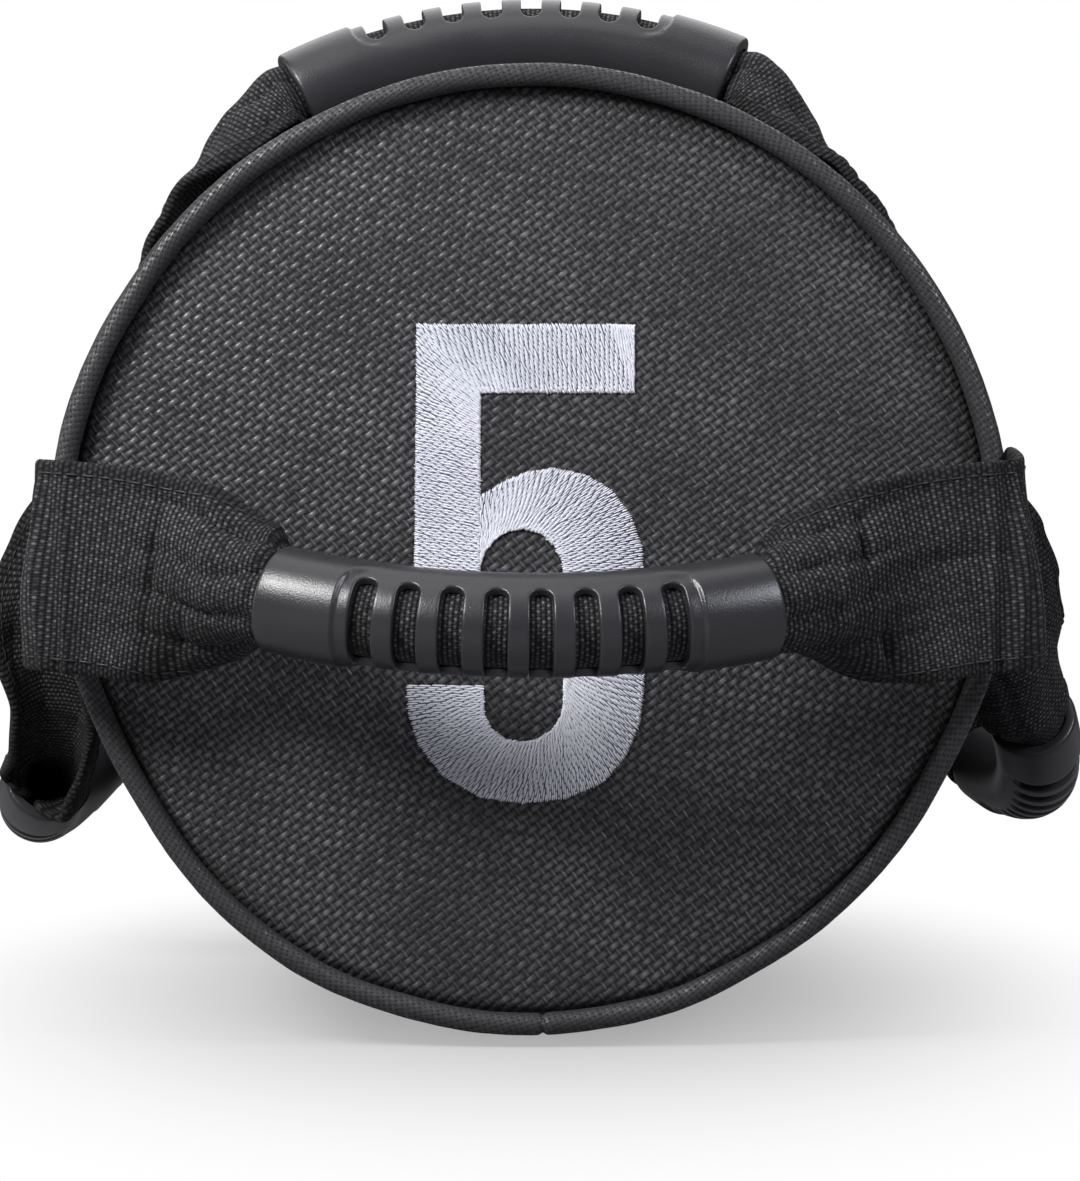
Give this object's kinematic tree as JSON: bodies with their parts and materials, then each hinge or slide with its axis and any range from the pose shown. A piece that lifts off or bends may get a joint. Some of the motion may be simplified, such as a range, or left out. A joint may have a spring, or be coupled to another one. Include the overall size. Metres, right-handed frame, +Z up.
{
  "type": "sandbag trainer",
  "caption": "Cylindrical soft training bag lying on its side, with slotted moulded grips on webbing loops at its ends, top and flanks, and a lengthwise zip on top.",
  "frame": {"origin": "centre of the flat resting face under the middle of the bag, on the floor", "axes": "+Y runs along the bag from its numbered front end to its rear end, +Z is up with the zip on top, +X is to the right seen from the front end"},
  "size_m": [0.3211, 0.617, 0.2638],
  "materials": {
    "coated_cloth": "satin",
    "piping_cloth": "satin",
    "webbing": "matte",
    "grip_rubber": "satin",
    "zip_metal": "satin",
    "zip_nylon": "satin",
    "zip_tape": "matte",
    "filling": "matte",
    "foam": "matte",
    "pouch_cloth": "matte",
    "sand": "matte",
    "closure_band": "matte"
  },
  "bodies": {
    "bag": {"barrel_panel": "coated_cloth", "front_end_panel": "coated_cloth", "rear_end_panel": "coated_cloth", "front_piping": "piping_cloth", "rear_piping": "piping_cloth", "front_end_sewn_left": "webbing", "front_end_sewn_right": "webbing", "rear_end_sewn_left": "webbing", "rear_end_sewn_right": "webbing", "front_top_sewn_left": "webbing", "front_top_sewn_right": "webbing", "rear_top_sewn_left": "webbing", "rear_top_sewn_right": "webbing", "left_side_sewn_front": "webbing", "left_side_sewn_rear": "webbing", "right_side_sewn_front": "webbing", "right_side_sewn_rear": "webbing", "zip_tape_left": "zip_tape", "zip_tape_right": "zip_tape", "zip_teeth_left": "zip_nylon", "zip_teeth_right": "zip_nylon", "zip_front_stop": "zip_metal", "zip_rear_stop": "zip_metal", "filler_padding": "filling", "front_end_pad": "foam", "rear_end_pad": "foam", "sand_pouch": "pouch_cloth", "sand_fill": "sand", "pouch_closure": "closure_band"},
    "front_end_handle": {"front_end_grip": "grip_rubber", "front_end_loop": "webbing"},
    "rear_end_handle": {"rear_end_grip": "grip_rubber", "rear_end_loop": "webbing"},
    "front_top_handle": {"front_top_grip": "grip_rubber", "front_top_loop": "webbing"},
    "rear_top_handle": {"rear_top_grip": "grip_rubber", "rear_top_loop": "webbing"},
    "left_side_handle": {"left_side_grip": "grip_rubber", "left_side_loop": "webbing"},
    "right_side_handle": {"right_side_grip": "grip_rubber", "right_side_loop": "webbing"},
    "slider": {"zip_slider": "zip_metal"},
    "pull_tab": {"zip_pull": "zip_metal"}
  },
  "joints": [
    {"name": "front_end_swing", "type": "hinge", "parent": "bag", "child": "front_end_handle", "pos_m": [0, -0.2323, 0.116], "axis": [-1, 0, 0], "range_deg": [0, 55], "deforming": ["front_end_loop"]},
    {"name": "rear_end_swing", "type": "hinge", "parent": "bag", "child": "rear_end_handle", "pos_m": [0, 0.2323, 0.116], "axis": [1, 0, 0], "range_deg": [0, 55], "deforming": ["rear_end_loop"]},
    {"name": "front_top_lift", "type": "slide", "parent": "bag", "child": "front_top_handle", "axis": [-0.0384, 0, 0.9993], "range_m": [0, 0.022], "deforming": ["front_top_loop"]},
    {"name": "rear_top_lift", "type": "slide", "parent": "bag", "child": "rear_top_handle", "axis": [0, 0, 1], "range_m": [0, 0.022], "deforming": ["rear_top_loop"]},
    {"name": "left_side_swing", "type": "hinge", "parent": "bag", "child": "left_side_handle", "pos_m": [-0.1206, 0, 0.1301], "axis": [0, 1, 0], "range_deg": [0, 150], "deforming": ["left_side_loop"]},
    {"name": "right_side_swing", "type": "hinge", "parent": "bag", "child": "right_side_handle", "pos_m": [0.1206, 0, 0.1301], "axis": [0, -1, 0], "range_deg": [0, 150], "deforming": ["right_side_loop"]},
    {"name": "zip_slide", "type": "slide", "parent": "bag", "child": "slider", "axis": [0, 1, 0], "range_m": [0, 0.234], "deforming": ["zip_teeth_left", "zip_teeth_right"]},
    {"name": "pull_flip", "type": "hinge", "parent": "slider", "child": "pull_tab", "pos_m": [0, -0.1199, 0.24207], "axis": [1, 0, 0], "range_deg": [0, 150]}
  ]
}
